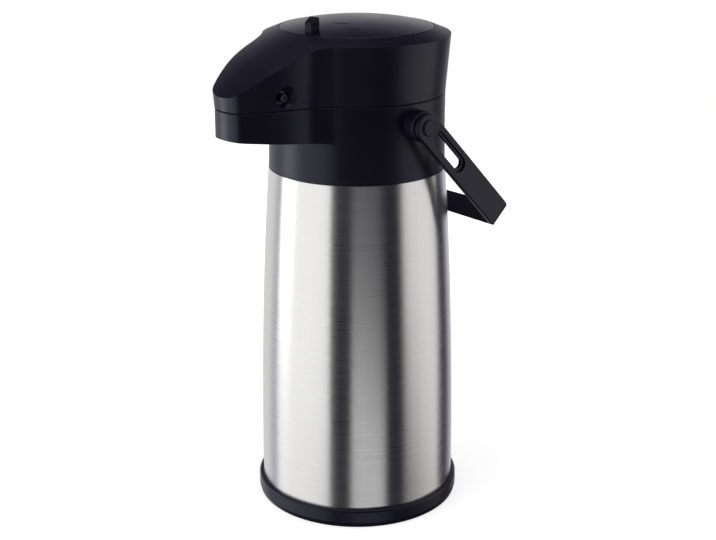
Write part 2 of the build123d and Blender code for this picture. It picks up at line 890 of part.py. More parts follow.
def make_lock_tab():
    half = tab_width / 2
    low = plate_edge_height - 2
    slope_foot = tab_top - tab_slope_drop
    tab = side_shape(-half, half, (-tab_front, low), (-tab_back, low), (-tab_back, tab_top),
                     (-tab_back - tab_flat, tab_top), (-tab_front, slope_foot))
    tops = [e for e in tab.edges() if e.center().Z > slope_foot - 0.1 and abs(e.center().X) < 0.1]
    tab = fillet(tops, tab_round)
    rims = [e for e in tab.edges() if e.center().Z > slope_foot - 2 and abs(abs(e.center().X) - half) < 0.01]
    tab = fillet(rims, tab_side_round)
    tab = tab - dome_solid(plate_radius, low - 1, -snug)
    pitch = (tab_front - tab_back) / (tab_groove_count + 1)
    for k in range(tab_groove_count):
        y = -tab_front + pitch * (k + 1)
        for face in (-half, half):
            tab -= block(face - tab_groove_depth, face + tab_groove_depth, y - tab_groove_width / 2,
                         y + tab_groove_width / 2, plate_edge_height + dome_rise - 1, slope_foot - 1)
    middle = (tab_front + tab_back) / 2
    peg = upright(tab_peg_radius, plate_edge_height - tab_peg_depth, slope_foot - 1, 0, -middle)
    return Rot(0, 0, tab_angle) * (tab + peg)


def make_pusher():
    high = pusher_bottom + pusher_thickness
    disc = upright(bellows_radius, pusher_bottom, high) + upright(hub_radius, high, hub_top)
    disc = disc - upright(hub_post_radius + pin_fit, high, hub_top + 1)
    disc = disc - upright(screw_radius + pin_fit, pusher_bottom - 1, high + 1)
    disc = disc - upright(screw_head_radius + gap, pusher_bottom - 1, pusher_bottom + screw_head_height)
    disc = disc - upright(valve_stem_radius + pin_fit, pusher_bottom - 1, high + 1, 0, intake_back)
    for x, y in ring_places(intake_hole_circle, outlet_hole_count):
        disc -= upright(intake_hole_radius, pusher_bottom - 1, high + 1, x, y + intake_back)
    return disc


def make_plate_screw():
    return screws([(0, 0)], pusher_bottom, hub_top - pusher_bottom - 2 * screw_head_height)


def make_intake_valve():
    low = pusher_bottom - flap_thickness
    high = pusher_bottom + pusher_thickness
    valve = upright(intake_radius, low, pusher_bottom, 0, intake_back)
    valve = valve + upright(valve_stem_radius, low, high, 0, intake_back)
    return valve + upright(valve_head_radius, high, high + valve_head_height, 0, intake_back)


# Latches

def make_latch(side):
    outer = latch_boss_end - gap
    inner = outer - latch_plate
    front = -latch_front - latch_plate_half
    back = -latch_front + latch_plate_half
    plate = block(inner, outer, front, back, latch_toe_bottom, latch_height + latch_plate_up)
    toe_top = latch_toe_bottom + latch_toe_height
    toe = side_shape(outer, outer + latch_toe_length, (front, latch_toe_bottom), (back, latch_toe_bottom),
                     (back, toe_top), (front, toe_top))
    button = across(latch_button_radius, inner, latch_button_end, -latch_front, latch_height)
    button = fillet(button.edges().sort_by(Axis.X)[-1], latch_button_round)
    dimple = across(latch_dimple_radius, latch_button_end - latch_dimple_depth, latch_button_end + 1,
                    -latch_front, latch_height)
    peg = across(latch_peg_radius, inner - latch_peg_length, inner, -latch_front, latch_height)
    latch = plate + toe + button + peg - dimple
    return latch if side > 0 else mirror(latch, Plane.YZ)


# Bail

def strap(edge_inset, bar_inset):
    half = bail_outer - edge_inset
    low = -(bail_reach - bail_bow - bar_inset)
    bow = -(bail_reach - bar_inset)
    sides = Polyline((-half, low), (-half, boss_radius), (half, boss_radius), (half, low))
    bar = ThreePointArc((half, low), (0, bow), (-half, low))
    face = make_face((Plane.XZ * sides).edges() + (Plane.XZ * bar).edges())
    corners = face.vertices().group_by(Axis.Z)[0]
    return fillet(corners, bail_corner - min(edge_inset, bar_inset))


def make_handle():
    half = bail_width / 2
    ring = extrude(strap(0, 0) - strap(bail_arm, bail_bar), half, both=True)
    low = -bail_reach - 1
    upper = Circle(half) + Pos(0, low / 2) * Rectangle(2 * half, -low)
    ring = ring & along_bail(upper)
    corner_edges = [e for e in ring.edges() if abs(abs(e.center().Y) - half) < 0.01]
    ring = fillet(corner_edges, bail_edge_round)
    lower = Pos(0, boss_radius - bail_reach / 2) * Rectangle(2 * half, bail_reach + 2 * boss_radius)
    lower = fillet(lower.vertices().group_by(Axis.Y)[0], bail_end_corner)
    ring = ring & along_bail(lower)
    for side in (-1, 1):
        turn = Rot(0, 0, 90 - 90 * side)
        ring = ring - turn * arm_slots()
    ring = ring - across(bail_pin_radius + pin_fit, -bail_outer - 1, bail_outer + 1, 0, 0)
    return Pos(0, 0, pivot_height) * Rot(bail_rest_angle, 0, 0) * ring


def along_bail(side_face):
    return Pos(-bail_outer - 1, 0, 0) * extrude(Plane.YZ * side_face, 2 * bail_outer + 2)


def arm_slots():
    middle = -(slot_from + slot_to) / 2
    through = Plane.YZ * Pos(0, middle) * Rot(0, 0, 90) * SlotOverall(slot_to - slot_from, 2 * slot_half)
    step_middle = -(slot_step_from + slot_step_to) / 2
    step_size = slot_step_to - slot_step_from
    step = Plane.YZ * Pos(0, step_middle) * Rot(0, 0, 90) * SlotOverall(step_size, 2 * slot_step_half)
    inner = bail_outer - bail_arm
    cut = Pos(inner - 1, 0, 0) * extrude(through, bail_arm + 2)
    return cut + Pos(bail_outer - slot_step_depth, 0, 0) * extrude(step, slot_step_depth + 1)


parts = {
    "base_ring": make_base_ring(),
    "base_cover": make_base_cover(),
    "foot_pad": make_foot_pad(),
    "base_screws": make_base_screws(),
    "outer_shell": make_outer_shell(),
    "inner_flask": make_inner_flask(),
    "flask_shoulder": make_flask_shoulder(),
    "flask_throat": make_flask_throat(),
    "flask_cushion": make_flask_cushion(),
    "neck_gasket": make_neck_gasket(),
    "collar": make_collar(),
    "mouth_ring": make_mouth_ring(),
    "deck_screws": make_deck_screws(),
    "dip_tube": make_dip_tube(),
    "tube_strainer": make_tube_strainer(),
    "port_seal": make_port_seal(),
    "spout_pipe": make_spout_pipe(),
    "spout_nozzle": make_spout_nozzle(),
    "hinge_pin": make_hinge_pin(),
    "handle_pin_right": make_handle_pin(1),
    "handle_pin_left": make_handle_pin(-1),
    "lid_shell": make_lid_shell(),
    "lid_base": make_lid_base(),
    "lid_screws": make_lid_screws(),
    "mouth_seal": make_mouth_seal(),
    "outlet_valve": make_outlet_valve(),
    "bellows": make_bellows(),
    "pump_spring": make_pump_spring(),
    "latch_spring_right": make_latch_spring(1),
    "latch_spring_left": make_latch_spring(-1),
    "push_plate": make_push_plate(),
    "pusher": make_pusher(),
    "plate_screw": make_plate_screw(),
    "intake_valve": make_intake_valve(),
    "lock_tab": make_lock_tab(),
    "latch_right": make_latch(1),
    "latch_left": make_latch(-1),
    "handle": make_handle(),
}

os.makedirs("parts", exist_ok=True)
for name, shape in parts.items():
    export_step(shape, f"parts/{name}.step")
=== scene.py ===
from math import cos, pi, radians, sin

import bmesh
import bpy
from mathutils import Matrix, Vector


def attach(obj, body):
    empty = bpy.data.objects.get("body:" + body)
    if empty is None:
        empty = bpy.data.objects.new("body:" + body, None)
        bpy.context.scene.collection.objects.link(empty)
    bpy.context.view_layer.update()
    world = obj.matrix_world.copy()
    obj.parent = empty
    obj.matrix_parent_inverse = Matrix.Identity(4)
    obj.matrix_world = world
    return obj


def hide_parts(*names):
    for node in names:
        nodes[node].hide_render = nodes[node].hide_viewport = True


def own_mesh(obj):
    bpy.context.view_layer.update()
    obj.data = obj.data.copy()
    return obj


# Airpot: a brushed steel jug under a black pump lid with a pouring beak.
# Metres. +Z is up, the beak points to -Y, the origin is the middle of the foot.

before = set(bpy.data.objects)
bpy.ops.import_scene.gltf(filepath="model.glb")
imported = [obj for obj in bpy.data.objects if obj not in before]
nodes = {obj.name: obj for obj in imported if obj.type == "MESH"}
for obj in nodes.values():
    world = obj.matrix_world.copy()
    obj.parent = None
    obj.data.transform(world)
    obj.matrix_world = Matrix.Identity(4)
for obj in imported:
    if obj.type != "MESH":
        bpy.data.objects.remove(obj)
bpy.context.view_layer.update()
print("frame loaded:", len(nodes), "nodes")


# Node helpers: a socket that takes part in sums, and one call for any other node

class Wire:
    def __init__(self, maker, socket):
        self.maker = maker
        self.socket = socket

    def sum(self, operation, first, second):
        return self.maker.add("ShaderNodeMath", {"operation": operation}, {0: first, 1: second})

    def __add__(self, other):
        return self.sum("ADD", self, other)

    __radd__ = __add__

    def __sub__(self, other):
        return self.sum("SUBTRACT", self, other)

    def __rsub__(self, other):
        return self.sum("SUBTRACT", other, self)

    def __mul__(self, other):
        return self.sum("MULTIPLY", self, other)

    __rmul__ = __mul__

    def __truediv__(self, other):
        return self.sum("DIVIDE", self, other)

    def __rtruediv__(self, other):
        return self.sum("DIVIDE", other, self)


class Maker:
    def __init__(self, tree, owner=None):
        self.tree = tree
        self.owner = owner
        self.shader = tree.nodes.get("Principled BSDF")

    def plug(self, node, key, value):
        socket = node.inputs[key]
        if isinstance(value, Wire):
            self.tree.links.new(value.socket, socket)
        elif isinstance(value, list):
            for wire in value:
                self.tree.links.new(wire.socket, socket)
        else:
            socket.default_value = value

    def add(self, kind, settings=None, inputs=None, output=0):
        node = self.tree.nodes.new(kind)
        for name, value in (settings or {}).items():
            setattr(node, name, value)
        for key, value in (inputs or {}).items():
            self.plug(node, key, value)
        return Wire(self, node.outputs[output]) if node.outputs else None

    def noise(self, stretch, scale, detail, rough):
        here = self.add("ShaderNodeTexCoord", output="Object")
        place = self.add("ShaderNodeMapping", None, {"Vector": here, "Scale": stretch})
        return self.add("ShaderNodeTexNoise", None, {
            "Vector": place, "Scale": scale, "Detail": detail, "Roughness": rough})

    def remap(self, wire, low, high, newLow, newHigh):
        return self.add("ShaderNodeMapRange", None, {
            "Value": wire, "From Min": low, "From Max": high, "To Min": newLow, "To Max": newHigh})

    def mix(self, factor, first, second):
        return self.add("ShaderNodeMix", {"data_type": "RGBA"}, {0: factor, 6: first, 7: second}, output=2)

    def bump(self, height, distance, strength):
        return self.add("ShaderNodeBump", None, {
            "Height": height, "Distance": distance, "Strength": strength})

    def finish(self, values):
        for key, value in values.items():
            self.plug(self.shader, key, value)
        return self.owner


def shade(red, green, blue):
    return (red, green, blue, 1.0)


def newFinish(name):
    material = bpy.data.materials.new(name)
    material.use_nodes = True
    return Maker(material.node_tree, material)


even = (1, 1, 1)
wideSpan = (0.3, 0.7)
midSpan = (0.35, 0.65)


def blended(maker, noise, span, look):
    # The look's two colours, mixed by a noise
    tone = maker.remap(noise, *span, 0.0, 1.0)
    return maker.mix(tone, shade(*look["dark"]), shade(*look["light"]))


def glossOf(maker, noise, look):
    return maker.remap(noise, *wideSpan, look["roughness"] - look["glossSpread"],
                       look["roughness"] + look["glossSpread"])


def moulded(name, look):
    # Injection moulding: fine spark-eroded grain, slow gloss changes, faint handling marks
    maker = newFinish(name)
    grain = maker.noise(even, look["grainScale"], detail=2.0, rough=0.6)
    cloud = maker.noise(even, look["cloudScale"], detail=3.0, rough=0.55)
    marks = maker.noise(look["markStretch"], look["markScale"], detail=4.0, rough=0.7)
    scuffs = maker.remap(marks, *look["scuffSpan"], 0.0, 1.0)
    return maker.finish({
        "Base Color": blended(maker, cloud, wideSpan, look),
        "Roughness": glossOf(maker, cloud, look) + scuffs * look["scuffGloss"],
        "Normal": maker.bump(grain, look["grainDepth"], look["grainStrength"]),
        "Specular IOR Level": look["specular"],
        "Specular Tint": shade(*look["sheenTint"]),
    })


def brushed(name, look):
    # Hairline brushing that runs around the body
    maker = newFinish(name)
    along = look["along"]
    wide = along * look["coarseAlong"]
    fine = maker.noise((along, along, look["fineAcross"]), 1.0, detail=3.0, rough=0.7)
    coarse = maker.noise((wide, wide, look["coarseAcross"]), 1.0, detail=2.0, rough=0.5)
    streaks = fine * (1 - look["coarseShare"]) + coarse * look["coarseShare"]
    cloud = maker.noise(even, look["cloudScale"], detail=2.0, rough=0.5)
    clouded = maker.remap(cloud, *midSpan, -look["cloudGloss"], look["cloudGloss"])
    return maker.finish({
        "Base Color": blended(maker, streaks, wideSpan, look),
        "Metallic": 1.0,
        "Roughness": glossOf(maker, streaks, look) + clouded,
        "Anisotropic": look["stretch"],
        "Anisotropic Rotation": look["turn"],
        "Normal": maker.bump(streaks, look["grooveDepth"], look["grooveStrength"]),
    })


def bareMetal(name, look):
    # Drawn or turned metal with small spots of wear
    maker = newFinish(name)
    draw = maker.noise(look["grain"], 1.0, detail=3.0, rough=0.6)
    spots = maker.noise(even, look["spotScale"], detail=4.0, rough=0.6)
    return maker.finish({
        "Base Color": blended(maker, draw, wideSpan, look),
        "Metallic": 1.0,
        "Roughness": maker.remap(spots, *midSpan, look["polished"], look["worn"]),
        "Normal": maker.bump(draw, look["grooveDepth"], look["grooveStrength"]),
    })


def soft(name, look):
    # Silicone and rubber: matt, a little dusty, with a faint skin
    maker = newFinish(name)
    skin = maker.noise(even, look["skinScale"], detail=2.0, rough=0.6)
    dust = maker.noise(even, look["dustScale"], detail=4.0, rough=0.7)
    return maker.finish({
        "Base Color": blended(maker, dust, look["dustSpan"], look),
        "Roughness": glossOf(maker, dust, look),
        "Normal": maker.bump(skin, look["skinDepth"], look["skinStrength"]),
        "Subsurface Weight": look["glow"],
        "Subsurface Scale": look["glowDepth"],
    })


satinBlackLook = {
    "dark": (0.0042, 0.0033, 0.0105), "light": (0.0055, 0.0044, 0.0130), "roughness": 0.36,
    "glossSpread": 0.02, "specular": 0.42, "sheenTint": (0.80, 0.81, 1.0), "grainScale": 2600.0,
    "grainDepth": 0.00004, "grainStrength": 0.3, "cloudScale": 22.0, "markScale": 45.0,
    "markStretch": (1, 1, 0.25), "scuffSpan": (0.62, 0.78), "scuffGloss": 0.05,
}
plateBlackLook = dict(satinBlackLook, roughness=0.27, grainStrength=0.15)
roughBlackLook = dict(satinBlackLook, roughness=0.50, specular=0.25, grainScale=1500.0, grainStrength=0.9,
                      grainDepth=0.00008)
handleBlackLook = dict(satinBlackLook, roughness=0.40, grainStrength=0.4)
greyLook = dict(satinBlackLook, dark=(0.24, 0.24, 0.25), light=(0.27, 0.27, 0.275), roughness=0.42,
                sheenTint=(1.0, 1.0, 1.0))
steelLook = {
    "dark": (0.79, 0.785, 0.77), "light": (0.87, 0.865, 0.85), "roughness": 0.30, "glossSpread": 0.04,
    "stretch": 0.85, "turn": 0.25, "along": 5.0, "coarseAlong": 0.6, "fineAcross": 2600.0,
    "coarseAcross": 1300.0, "coarseShare": 0.25, "cloudScale": 9.0, "cloudGloss": 0.015,
    "grooveDepth": 0.00001, "grooveStrength": 0.05,
}
flaskLook = dict(steelLook, grooveStrength=0.15, coarseAcross=260.0)
screwLook = {
    "dark": (0.5, 0.5, 0.5), "light": (0.66, 0.66, 0.65), "polished": 0.17, "worn": 0.28,
    "grain": (900, 900, 2200), "spotScale": 160.0, "grooveDepth": 0.00002, "grooveStrength": 0.35,
}
wireLook = dict(screwLook, dark=(0.44, 0.43, 0.42), light=(0.62, 0.61, 0.6), polished=0.23, worn=0.34,
                grain=(1400, 1400, 1400))
siliconeLook = {
    "dark": (0.50, 0.49, 0.46), "light": (0.60, 0.59, 0.56), "roughness": 0.5, "glossSpread": 0.07,
    "skinScale": 1400.0, "skinDepth": 0.00006, "skinStrength": 0.4, "dustScale": 60.0,
    "dustSpan": (0.4, 0.75), "glow": 0.15, "glowDepth": 0.002,
}
rubberLook = dict(siliconeLook, dark=(0.018, 0.018, 0.019), light=(0.035, 0.035, 0.037), roughness=0.72,
                  glow=0.0)

finishes = {
    "satinBlack": moulded("satinBlack", satinBlackLook),
    "plateBlack": moulded("plateBlack", plateBlackLook),
    "roughBlack": moulded("roughBlack", roughBlackLook),
    "handleBlack": moulded("handleBlack", handleBlackLook),
    "innerGrey": moulded("innerGrey", greyLook),
    "hairlineSteel": brushed("hairlineSteel", steelLook),
    "flaskSteel": brushed("flaskSteel", flaskLook),
    "screwSteel": bareMetal("screwSteel", screwLook),
    "springWire": bareMetal("springWire", wireLook),
    "silicone": soft("silicone", siliconeLook),
    "footRubber": soft("footRubber", rubberLook),
}
print("finishes made:", len(finishes))

nodeFinish = {
    "base_ring": "satinBlack", "base_cover": "satinBlack",
    "outer_shell": "hairlineSteel", "inner_flask": "flaskSteel", "flask_shoulder": "flaskSteel",
    "flask_throat": "flaskSteel", "flask_cushion": "footRubber",
    "neck_gasket": "silicone", "collar": "satinBlack", "mouth_ring": "innerGrey",
    "dip_tube": "flaskSteel", "tube_strainer": "innerGrey", "port_seal": "silicone", "spout_pipe": "silicone",
    "spout_nozzle": "innerGrey", "hinge_pin": "screwSteel", "handle_pin_right": "handleBlack",
    "handle_pin_left": "handleBlack", "lid_shell": "satinBlack", "lid_base": "innerGrey",
    "mouth_seal": "silicone", "outlet_valve": "silicone", "bellows": "silicone",
    "pump_spring": "springWire", "latch_spring_right": "springWire", "latch_spring_left": "springWire",
    "pusher": "innerGrey", "intake_valve": "silicone", "push_plate": "plateBlack",
    "lock_tab": "roughBlack", "latch_right": "handleBlack", "latch_left": "handleBlack", "handle": "handleBlack",
}
for name, finish in nodeFinish.items():
    slots = nodes[name].data.materials
    slots.clear()
    slots.append(finishes[finish])
print("CAD nodes finished:", len(nodeFinish))


# Pieces that repeat, grown by geometry trees

def newTree(name, sockets):
    tree = bpy.data.node_groups.new(name, "GeometryNodeTree")
    for label, kind in sockets.items():
        tree.interface.new_socket(label, in_out="INPUT", socket_type="NodeSocket" + kind)
    tree.interface.new_socket("Geometry", in_out="OUTPUT", socket_type="NodeSocketGeometry")
    maker = Maker(tree)
    return maker, {label: maker.add("NodeGroupInput", output=label) for label in sockets}


def closeTree(maker, shape, finish):
    real = maker.add("GeometryNodeRealizeInstances", None, {"Geometry": shape})
    painted = maker.add("GeometryNodeSetMaterial", None, {"Geometry": real, "Material": finish})
    maker.add("NodeGroupOutput", None, {0: painted})


def grow(name, maker, values):
    piece = bpy.data.objects.new(name, bpy.data.meshes.new(name))
    bpy.context.scene.collection.objects.link(piece)
    modifier = piece.modifiers.new(name, "NODES")
    modifier.node_group = maker.tree
    for item in maker.tree.interface.items_tree:
        if item.in_out == "INPUT":
            modifier[item.identifier] = values[item.name]
    graph = bpy.context.evaluated_depsgraph_get()
    mesh = bpy.data.meshes.new_from_object(piece.evaluated_get(graph), depsgraph=graph)
    piece.modifiers.remove(modifier)
    piece.data = mesh
    print("grown:", name, len(mesh.polygons), "faces")
    return piece


def onCircle(maker, count, radius, start, height):
    # Points spread evenly around the body's axis, and the angle of each
    step = maker.add("GeometryNodeInputIndex") * (2 * pi) / count
    angle = start + step
    place = maker.add("ShaderNodeCombineXYZ", None, {
        "X": maker.add("ShaderNodeMath", {"operation": "COSINE"}, {0: angle}) * radius,
        "Y": maker.add("ShaderNodeMath", {"operation": "SINE"}, {0: angle}) * radius,
        "Z": height})
    return maker.add("GeometryNodePoints", None, {"Count": count, "Position": place}), angle


def widened(maker, shape, factor):
    here = maker.add("GeometryNodeInputPosition")
    scale = maker.add("ShaderNodeCombineXYZ", None, {"X": factor, "Y": factor, "Z": 1.0})
    place = maker.add("ShaderNodeVectorMath", {"operation": "MULTIPLY"}, {0: here, 1: scale})
    return maker.add("GeometryNodeSetPosition", None, {"Geometry": shape, "Position": place})


def heightOf(maker):
    here = maker.add("GeometryNodeInputPosition")
    return maker.add("ShaderNodeSeparateXYZ", None, {0: here}, output="Z")


screwShape = {"Head Radius": 0.0029, "Head Depth": 0.0018, "Shank Radius": 0.0015, "Pitch": 0.0009,
              "Recess Width": 0.0006, "Recess Length": 0.0030, "Recess Depth": 0.0010}
screwForm = {"crown": 0.55, "threadDepth": 0.4, "headSides": 32, "headRings": 6, "shankSides": 20,
             "shankRings": 48}
screwSets = {
    "baseScrewSet": {"Count": 3, "Circle": 0.062, "Start": pi / 2, "Height": 0.0, "Tilt": 0.0, "Length": 0.004},
    "deckScrewSet": {"Count": 3, "Circle": 0.0574, "Start": pi / 2, "Height": 0.3065, "Tilt": pi,
                     "Length": 0.005},
    "lidScrewSet": {"Count": 4, "Circle": 0.0579, "Start": pi / 4, "Height": 0.3082, "Tilt": 0.0,
                    "Length": 0.011},
    "plateScrewSet": {"Count": 1, "Circle": 0.0, "Start": 0.0, "Height": 0.343, "Tilt": 0.0, "Length": 0.0084},
}
screwHomes = {"baseScrewSet": ("body", "base_screws"), "deckScrewSet": ("body", "deck_screws"),
              "lidScrewSet": ("lid", "lid_screws"), "plateScrewSet": ("plate", "plate_screw")}


def screwTree():
    # Rounded head with a cross recess, on a shank whose rings follow the pitch
    maker, size = newTree("screwTree", {
        "Count": "Int", "Circle": "Float", "Start": "Float", "Height": "Float", "Tilt": "Float",
        "Length": "Float", "Head Radius": "Float", "Head Depth": "Float", "Shank Radius": "Float",
        "Pitch": "Float", "Recess Width": "Float", "Recess Length": "Float", "Recess Depth": "Float",
        "Finish": "Material"})
    head = maker.add("GeometryNodeMeshCylinder", None, {
        "Vertices": screwForm["headSides"], "Side Segments": screwForm["headRings"],
        "Radius": size["Head Radius"], "Depth": size["Head Depth"]})
    toFace = (size["Head Depth"] * 0.5 - heightOf(maker)) / size["Head Depth"]
    crown = 1 - toFace * toFace * screwForm["crown"]
    head = widened(maker, head, maker.add("ShaderNodeMath", {"operation": "SQRT"}, {0: crown}))
    slot = (size["Recess Length"], size["Recess Width"])
    for long, short in (slot, slot[::-1]):
        bit = maker.add("GeometryNodeMeshCube", None, {"Size": maker.add("ShaderNodeCombineXYZ", None, {
            "X": long, "Y": short, "Z": size["Recess Depth"] * 2})})
        bit = maker.add("GeometryNodeTransform", None, {"Geometry": bit, "Translation": maker.add(
            "ShaderNodeCombineXYZ", None, {"Z": size["Head Depth"] * -0.5})})
        head = maker.add("GeometryNodeMeshBoolean", {"operation": "DIFFERENCE"}, {"Mesh 1": head, "Mesh 2": bit})
    head = maker.add("GeometryNodeTransform", None, {"Geometry": head, "Translation": maker.add(
        "ShaderNodeCombineXYZ", None, {"Z": size["Head Depth"] * 0.5})})
    shank = maker.add("GeometryNodeMeshCylinder", None, {
        "Vertices": screwForm["shankSides"], "Side Segments": screwForm["shankRings"],
        "Radius": size["Shank Radius"], "Depth": size["Length"]})
    wave = maker.add("ShaderNodeMath", {"operation": "PINGPONG"}, {0: heightOf(maker), 1: size["Pitch"] * 0.5})
    shank = widened(maker, shank, 1 - wave / size["Pitch"] * screwForm["threadDepth"])
    shank = maker.add("GeometryNodeTransform", None, {"Geometry": shank, "Translation": maker.add(
        "ShaderNodeCombineXYZ", None, {"Z": size["Head Depth"] + size["Length"] * 0.5})})
    screw = maker.add("GeometryNodeJoinGeometry", None, {0: [head, shank]})
    places, angle = onCircle(maker, size["Count"], size["Circle"], size["Start"], size["Height"])
    turn = maker.add("ShaderNodeCombineXYZ", None, {"X": size["Tilt"], "Z": angle})
    screws = maker.add("GeometryNodeInstanceOnPoints", None, {
        "Points": places, "Instance": screw, "Rotation": turn})
    closeTree(maker, screws, size["Finish"])
    return maker


def makeScrews():
    maker = screwTree()
    for name, places in screwSets.items():
        piece = grow(name, maker, dict(screwShape, Finish=finishes["screwSteel"], **places))
        body, node = screwHomes[name]
        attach(piece, body)
        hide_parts(node)


# Sides: 0 is X, 2 is Z. An end of 0 holds still at the low side of the piece, 1 at its high side
springy = {
    "bellowsFolds": {"node": "bellows", "joint": "pump_press", "side": 2, "end": 0, "travel": 0.020},
    "pumpCoil": {"node": "pump_spring", "joint": "pump_press", "side": 2, "end": 0, "travel": 0.020},
    "latchCoilRight": {"node": "latch_spring_right", "joint": "latch_right_press", "side": 0, "end": 0,
                       "travel": 0.002},
    "latchCoilLeft": {"node": "latch_spring_left", "joint": "latch_left_press", "side": 0, "end": 1,
                      "travel": 0.002},
}


def makeSpringy():
    # Each is a copy of the node's own form, attached to the lid in the node's place
    for name, form in springy.items():
        piece = bpy.data.objects.new(name, nodes[form["node"]].data.copy())
        bpy.context.scene.collection.objects.link(piece)
        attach(piece, "lid")
        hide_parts(form["node"])
        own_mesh(piece)
    print("shortening pieces:", len(springy))


tread = {"Count": 40, "Radius": 0.050, "Thickness": 0.0016, "Bar Length": 0.026, "Bar Width": 0.0022,
         "Bar Height": 0.0007, "Bar Middle": 0.034}
# A bar's full height as a multiple of the part that shows, and the sides of the sole
treadForm = {"rooted": 1.4, "sides": 96}


def makeFootTread():
    # A rubber sole with short radial bars
    maker, size = newTree("treadTree", {
        "Count": "Int", "Radius": "Float", "Thickness": "Float", "Bar Length": "Float", "Bar Width": "Float",
        "Bar Height": "Float", "Bar Middle": "Float", "Finish": "Material"})
    skin = size["Thickness"] - size["Bar Height"]
    disc = maker.add("GeometryNodeMeshCylinder", None, {
        "Vertices": treadForm["sides"], "Radius": size["Radius"], "Depth": skin})
    disc = maker.add("GeometryNodeTransform", None, {"Geometry": disc, "Translation": maker.add(
        "ShaderNodeCombineXYZ", None, {"Z": size["Bar Height"] + skin * 0.5})})
    bar = maker.add("GeometryNodeMeshCube", None, {"Size": maker.add("ShaderNodeCombineXYZ", None, {
        "X": size["Bar Length"], "Y": size["Bar Width"], "Z": size["Bar Height"] * treadForm["rooted"]})})
    middle = size["Bar Height"] * (treadForm["rooted"] / 2)
    places, angle = onCircle(maker, size["Count"], size["Bar Middle"], 0.0, middle)
    turn = maker.add("ShaderNodeCombineXYZ", None, {"Z": angle})
    bars = maker.add("GeometryNodeInstanceOnPoints", None, {
        "Points": places, "Instance": bar, "Rotation": turn})
    closeTree(maker, maker.add("GeometryNodeJoinGeometry", None, {0: [disc, bars]}), size["Finish"])
    piece = grow("footTread", maker, dict(tread, Finish=finishes["footRubber"]))
    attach(piece, "body")
    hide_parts("foot_pad")


# Raised marks on the pump plate, plain strokes that follow its dome
plateDome = {"Dome Radius": 0.23510, "Dome Centre": 0.12680, "Stroke": 0.0009, "Lift": 0.00012}
markForm = {"steps": 24, "depth": 4}  # depth is counted in lifts, and most of it is in the plate
plateMarks = {
    "markTurn": {"Radius": 0.0255, "Start": -1.37, "Sweep": 0.50},
    "markStop": {"Radius": 0.0371, "Start": -0.83, "Sweep": 0.20},
}


def makePlateMarks():
    maker, size = newTree("markTree", {
        "Radius": "Float", "Start": "Float", "Sweep": "Float", "Dome Radius": "Float", "Dome Centre": "Float",
        "Stroke": "Float", "Lift": "Float", "Finish": "Material"})
    arc = maker.add("GeometryNodeCurveArc", {"mode": "RADIUS"}, {
        "Resolution": markForm["steps"], "Radius": size["Radius"], "Start Angle": size["Start"],
        "Sweep Angle": size["Sweep"]})
    section = maker.add("GeometryNodeCurvePrimitiveQuadrilateral", None, {
        "Width": size["Stroke"], "Height": size["Lift"] * markForm["depth"]})
    stroke = maker.add("GeometryNodeCurveToMesh", None, {
        "Curve": arc, "Profile Curve": section, "Fill Caps": True})
    here = maker.add("GeometryNodeInputPosition")
    flat = maker.add("ShaderNodeVectorMath", {"operation": "MULTIPLY"}, {0: here, 1: (1.0, 1.0, 0.0)})
    squared = maker.add("ShaderNodeVectorMath", {"operation": "DOT_PRODUCT"}, {0: flat, 1: flat},
                        output="Value")
    rise = maker.add("ShaderNodeMath", {"operation": "SQRT"},
                     {0: size["Dome Radius"] * size["Dome Radius"] - squared})
    move = maker.add("ShaderNodeCombineXYZ", None, {"Z": size["Dome Centre"] + rise - size["Lift"]})
    onDome = maker.add("GeometryNodeSetPosition", None, {"Geometry": stroke, "Offset": move})
    closeTree(maker, onDome, size["Finish"])
    for name, places in plateMarks.items():
        piece = grow(name, maker, dict(plateDome, Finish=finishes["roughBlack"], **places))
        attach(piece, "plate")


makeScrews()
makeSpringy()
makeFootTread()
makePlateMarks()


# Studio

camera = {"focalPixels": 1451.8, "reach": 1.0242, "height": 0.5161, "pitch": 16.86, "azimuth": 50.5,
          "roll": -0.09, "centreX": 357.0, "centreY": 228.0, "frameWide": 716, "frameHigh": 540,
          "sensor": 36.0}


def placeCamera():
    data = bpy.data.cameras.new("photoCamera")
    data.sensor_width = camera["sensor"]
    data.lens = camera["focalPixels"] * data.sensor_width / camera["frameWide"]
    data.shift_x = (camera["frameWide"] / 2 - camera["centreX"]) / camera["frameWide"]
    data.shift_y = -(camera["frameHigh"] / 2 - camera["centreY"]) / camera["frameWide"]
    eye = bpy.data.objects.new("photoCamera", data)
    bpy.context.scene.collection.objects.link(eye)
    turn = radians(camera["azimuth"])
    eye.location = (camera["reach"] * sin(turn), -camera["reach"] * cos(turn), camera["height"])
    spin = Matrix.Rotation(turn, 4, "Z") @ Matrix.Rotation(radians(90 - camera["pitch"]), 4, "X")
    spin = spin @ Matrix.Rotation(radians(camera["roll"]), 4, "Z")
    eye.rotation_euler = spin.to_euler()
    bpy.context.scene.camera = eye


def placeLamp(name, spec):
    # azimuth is counted from the camera's side, to the right as the camera sees it
    data = bpy.data.lights.new(name, "AREA")
    data.shape = "RECTANGLE"
    data.size = spec["wide"]
    data.size_y = spec["high"]
    data.energy = spec["level"] * spec["wide"] * spec["high"] * pi
    data.color = spec["colour"]
    lamp = bpy.data.objects.new(name, data)
    bpy.context.scene.collection.objects.link(lamp)
    turn = radians(camera["azimuth"] + spec["azimuth"])
    lamp.location = (spec["reach"] * sin(turn), -spec["reach"] * cos(turn), spec["middle"])
    aim = Vector((0, 0, spec["aim"])) - lamp.location
    spin = aim.to_track_quat("-Z", "Y").to_matrix() @ Matrix.Rotation(radians(spec["roll"]), 3, "Z")
    lamp.rotation_euler = spin.to_euler()
    lamp.visible_camera = False


